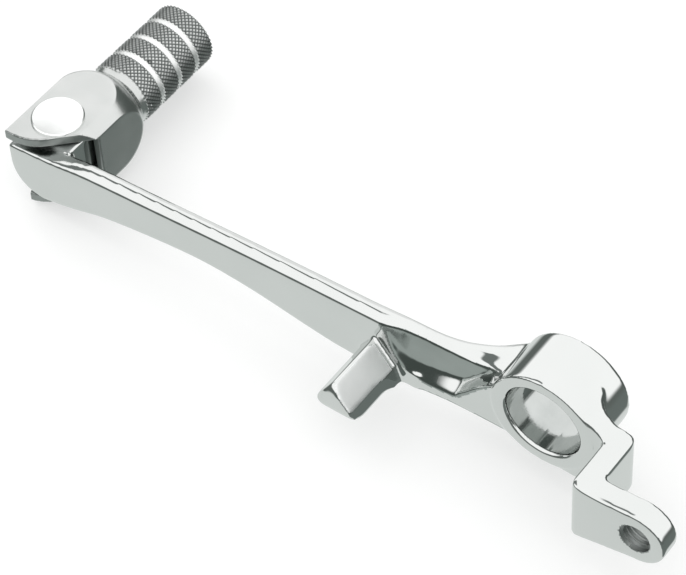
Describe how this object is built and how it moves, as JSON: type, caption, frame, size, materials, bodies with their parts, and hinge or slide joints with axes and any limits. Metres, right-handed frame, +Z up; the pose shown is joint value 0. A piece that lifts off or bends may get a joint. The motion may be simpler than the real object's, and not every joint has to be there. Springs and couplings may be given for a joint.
{
  "type": "rear brake pedal lever",
  "caption": "Polished forged rear brake pedal lever for a motorcycle, with a pivot boss, a stop lug, a Z-bent push-rod strap and a folding knurled toe peg.",
  "frame": {"origin": "the middle of the pivot bore, on its axis, halfway between the two faces of the boss", "axes": "X runs from the toe to the pivot and on to the push-rod strap, Y along the pivot bore towards the toe peg's tip, Z up"},
  "size_m": [0.2015, 0.0787, 0.0352],
  "materials": {
    "polished_metal": "mirror polished",
    "knurled_metal": "polished, with a diamond knurl",
    "spring_steel": "drawn wire, oiled"
  },
  "bodies": {
    "lever": {"lever_arm": "polished_metal"},
    "folding_peg": {"toe_peg": "knurled_metal", "hinge_pin": "polished_metal", "return_spring": "spring_steel"}
  },
  "joints": [
    {"name": "toe_peg_fold", "type": "hinge", "parent": "lever", "child": "folding_peg", "pos_m": [-0.151, 0.0032, -0.0092], "axis": [0, 0, -1], "range_deg": [0, 38], "stiffness_Nm_per_rad": 0.25, "springref_deg": -28.65}
  ]
}
